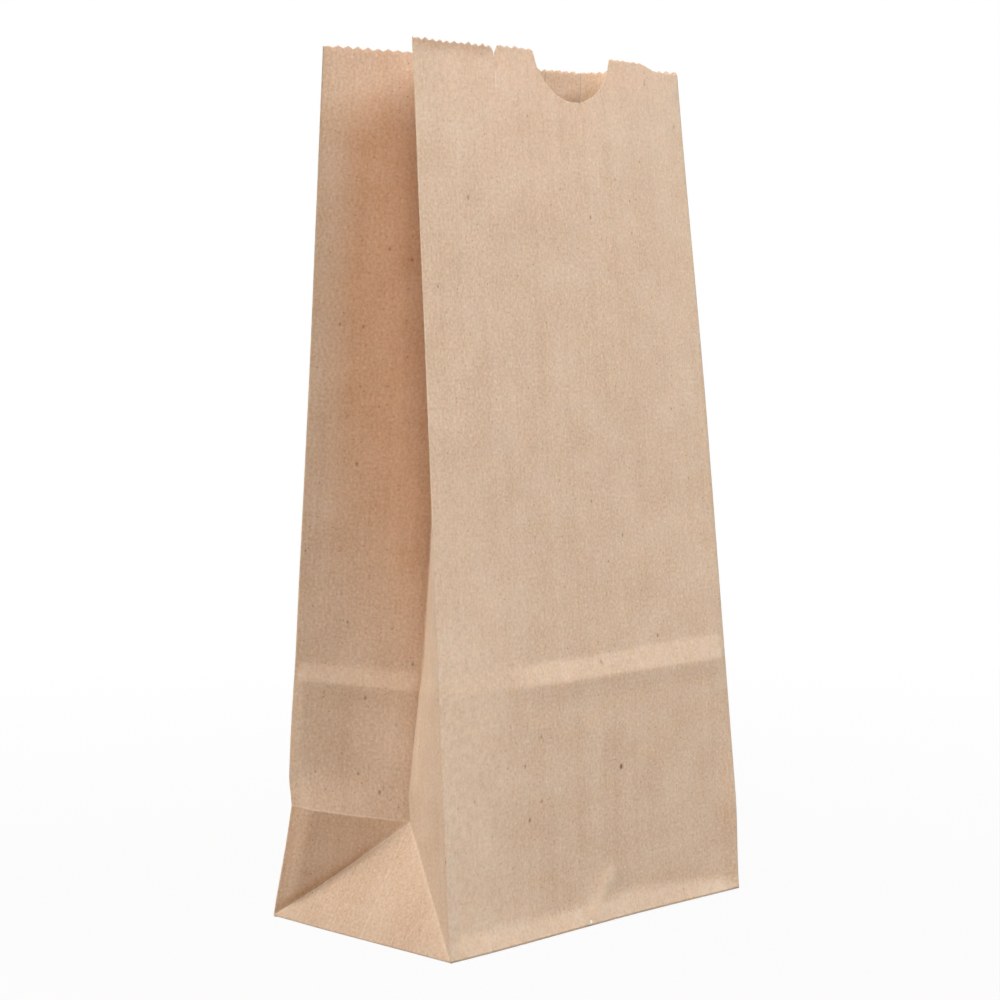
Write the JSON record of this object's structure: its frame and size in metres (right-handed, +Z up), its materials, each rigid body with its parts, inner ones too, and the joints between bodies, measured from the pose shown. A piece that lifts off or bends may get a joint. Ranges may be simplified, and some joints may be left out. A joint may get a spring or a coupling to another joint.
{
  "type": "paper lunch bag",
  "caption": "Brown kraft paper lunch bag standing open, with folded side gussets, a flat pasted bottom, a pinked rim and a thumb notch in the front.",
  "frame": {"origin": "centre of the bottom, on the surface it stands on", "axes": "+Z up to the mouth, -Y out of the front face with the thumb notch, +X to the right of that face"},
  "size_m": [0.1306, 0.0796, 0.2699],
  "materials": {
    "kraft_paper": "matt unbleached kraft"
  },
  "bodies": {
    "root": {"paper_bag": "kraft_paper"}
  },
  "joints": []
}
